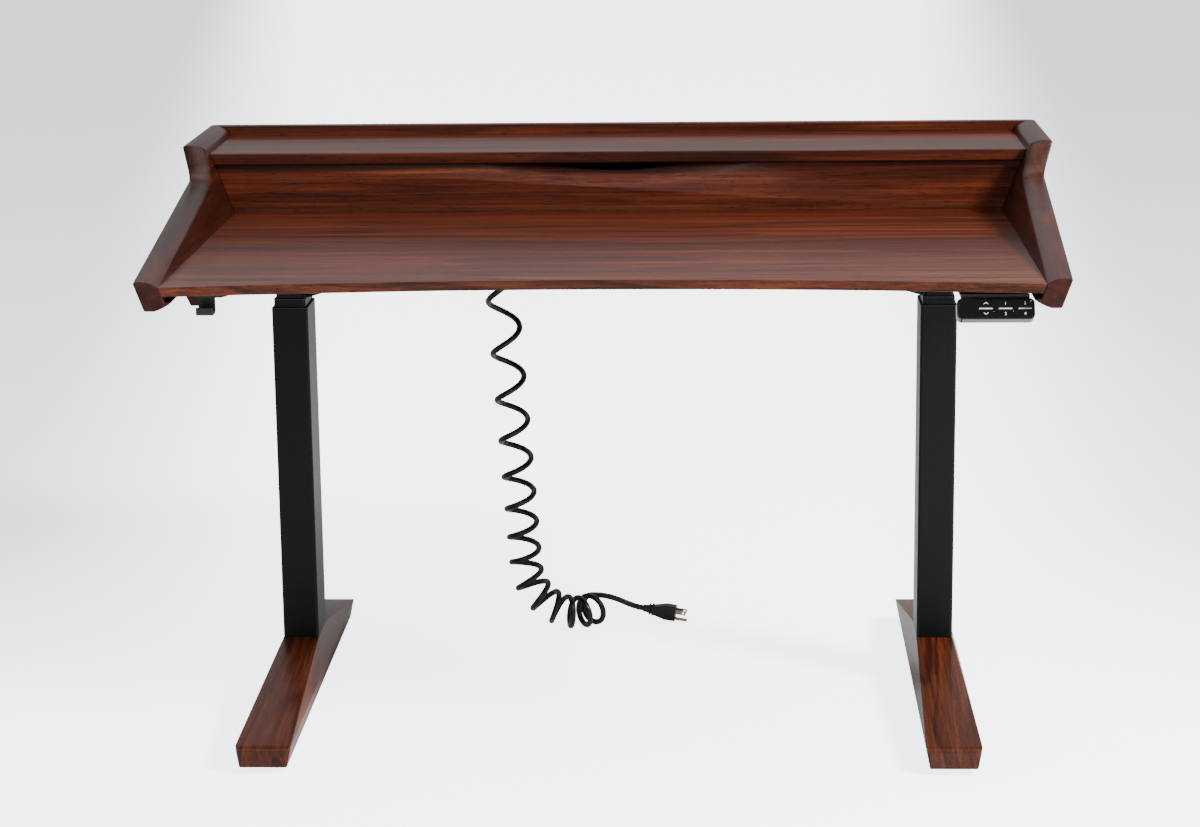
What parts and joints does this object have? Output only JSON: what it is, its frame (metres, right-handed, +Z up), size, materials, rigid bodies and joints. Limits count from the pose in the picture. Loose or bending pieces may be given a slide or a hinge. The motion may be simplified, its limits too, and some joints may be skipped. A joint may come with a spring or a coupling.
{
  "type": "standing desk",
  "caption": "Motorised height-adjustable desk with a walnut top, a raised rear shelf between leaning cheeks, black telescopic legs and a curly power cord.",
  "frame": {"origin": "on the floor under the middle of the top, desk at its lowest height", "axes": "+X to the user's right, +Y away from the user, +Z up"},
  "size_m": [1.2266, 0.795, 0.752],
  "materials": {
    "walnut": "oiled reddish brown walnut, satin",
    "powder_coat": "satin black powder coat",
    "zinc_steel": "bright zinc plate",
    "nylon": "black moulded nylon",
    "gloss_plastic": "glossy black moulded plastic",
    "key_print": "light grey inlay",
    "gear_case": "die cast",
    "cord_jacket": "semi-gloss black jacket",
    "plated_brass": "nickel-plated brass, worn"
  },
  "bodies": {
    "base": {"foot_left": "walnut", "foot_right": "walnut", "foot_plates": "powder_coat", "glide_inserts": "zinc_steel", "column_bolts": "zinc_steel", "base_plates": "zinc_steel", "base_screws": "zinc_steel", "outer_tube_left": "powder_coat", "outer_tube_right": "powder_coat", "outer_collars": "nylon", "power_cord": "cord_jacket", "plug_body": "cord_jacket", "plug_pins": "plated_brass"},
    "mid_stages": {"mid_tube_left": "powder_coat", "mid_tube_right": "powder_coat", "mid_shoes": "nylon", "mid_collars": "nylon"},
    "top": {"worktop": "walnut", "cheek_left": "walnut", "cheek_right": "walnut", "riser_panel": "walnut", "upper_shelf": "walnut", "back_panel": "walnut", "batten_left": "walnut", "batten_right": "walnut", "inner_tube_left": "powder_coat", "inner_tube_right": "powder_coat", "travel_nuts": "nylon", "leg_head_left": "powder_coat", "leg_head_right": "powder_coat", "gearboxes": "gear_case", "motors": "powder_coat", "braces": "powder_coat", "side_bracket_left": "powder_coat", "side_bracket_right": "powder_coat", "crossbar_front": "powder_coat", "crossbar_back": "powder_coat", "control_box": "nylon", "cord_gland": "cord_jacket", "handset_bracket": "nylon", "handset_housing": "gloss_plastic", "handset_window": "gloss_plastic", "key_bars": "key_print", "bag_hook": "nylon", "wood_screws": "zinc_steel"},
    "lift_screw_left": {"lift_screw_left": "zinc_steel"},
    "spline_shaft_left": {"spline_shaft_left": "zinc_steel"},
    "lift_screw_right": {"lift_screw_right": "zinc_steel"},
    "spline_shaft_right": {"spline_shaft_right": "zinc_steel"},
    "glide_front_left": {"glide_front_left": "nylon"},
    "glide_front_right": {"glide_front_right": "nylon"},
    "glide_back_left": {"glide_back_left": "nylon"},
    "glide_back_right": {"glide_back_right": "nylon"},
    "key_up": {"key_up": "gloss_plastic"},
    "key_down": {"key_down": "gloss_plastic"},
    "key_1": {"key_1": "gloss_plastic"},
    "key_2": {"key_2": "gloss_plastic"},
    "key_3": {"key_3": "gloss_plastic"},
    "key_4": {"key_4": "gloss_plastic"}
  },
  "joints": [
    {"name": "lift", "type": "slide", "parent": "base", "child": "top", "axis": [0, 0, 1], "range_m": [0, 0.65]},
    {"name": "mid_lift", "type": "slide", "parent": "base", "child": "mid_stages", "axis": [0, 0, 1], "range_m": [0, 0.325]},
    {"name": "lift_screw_left_turn", "type": "hinge", "parent": "mid_stages", "child": "lift_screw_left", "pos_m": [-0.447, 0.0585, 0.3], "axis": [0, 0, 1], "range_deg": [0, 11701]},
    {"name": "spline_shaft_left_turn", "type": "hinge", "parent": "top", "child": "spline_shaft_left", "pos_m": [-0.447, 0.0585, 0.3], "axis": [0, 0, 1], "range_deg": [0, 11701]},
    {"name": "lift_screw_right_turn", "type": "hinge", "parent": "mid_stages", "child": "lift_screw_right", "pos_m": [0.447, 0.0585, 0.3], "axis": [0, 0, 1], "range_deg": [0, 11701]},
    {"name": "spline_shaft_right_turn", "type": "hinge", "parent": "top", "child": "spline_shaft_right", "pos_m": [0.447, 0.0585, 0.3], "axis": [0, 0, 1], "range_deg": [0, 11701]},
    {"name": "glide_front_left_turn", "type": "hinge", "parent": "base", "child": "glide_front_left", "pos_m": [-0.447, -0.3085, 0.01], "axis": [0, 0, 1], "range_deg": [-180, 180]},
    {"name": "glide_front_right_turn", "type": "hinge", "parent": "base", "child": "glide_front_right", "pos_m": [0.447, -0.3085, 0.01], "axis": [0, 0, 1], "range_deg": [-180, 180]},
    {"name": "glide_back_left_turn", "type": "hinge", "parent": "base", "child": "glide_back_left", "pos_m": [-0.447, 0.2789, 0.01], "axis": [0, 0, 1], "range_deg": [-180, 180]},
    {"name": "glide_back_right_turn", "type": "hinge", "parent": "base", "child": "glide_back_right", "pos_m": [0.447, 0.2789, 0.01], "axis": [0, 0, 1], "range_deg": [-180, 180]},
    {"name": "key_up_press", "type": "slide", "parent": "top", "child": "key_up", "axis": [0, 0.8942, -0.4478], "range_m": [0, 0.0008], "stiffness_N_per_m": 600, "springref_m": -0.002},
    {"name": "key_down_press", "type": "slide", "parent": "top", "child": "key_down", "axis": [0, 0.8942, -0.4478], "range_m": [0, 0.0008], "stiffness_N_per_m": 600, "springref_m": -0.002},
    {"name": "key_1_press", "type": "slide", "parent": "top", "child": "key_1", "axis": [0, 0.8942, -0.4478], "range_m": [0, 0.0008], "stiffness_N_per_m": 600, "springref_m": -0.002},
    {"name": "key_2_press", "type": "slide", "parent": "top", "child": "key_2", "axis": [0, 0.8942, -0.4478], "range_m": [0, 0.0008], "stiffness_N_per_m": 600, "springref_m": -0.002},
    {"name": "key_3_press", "type": "slide", "parent": "top", "child": "key_3", "axis": [0, 0.8942, -0.4478], "range_m": [0, 0.0008], "stiffness_N_per_m": 600, "springref_m": -0.002},
    {"name": "key_4_press", "type": "slide", "parent": "top", "child": "key_4", "axis": [0, 0.8942, -0.4478], "range_m": [0, 0.0008], "stiffness_N_per_m": 600, "springref_m": -0.002}
  ],
  "couplings": [
    {"joint": "mid_lift", "follows": "lift", "ratio": 0.5},
    {"joint": "lift_screw_left_turn", "follows": "lift", "rad_per_m": 314.16},
    {"joint": "spline_shaft_left_turn", "follows": "lift", "rad_per_m": 314.16},
    {"joint": "lift_screw_right_turn", "follows": "lift", "rad_per_m": 314.16},
    {"joint": "spline_shaft_right_turn", "follows": "lift", "rad_per_m": 314.16}
  ]
}
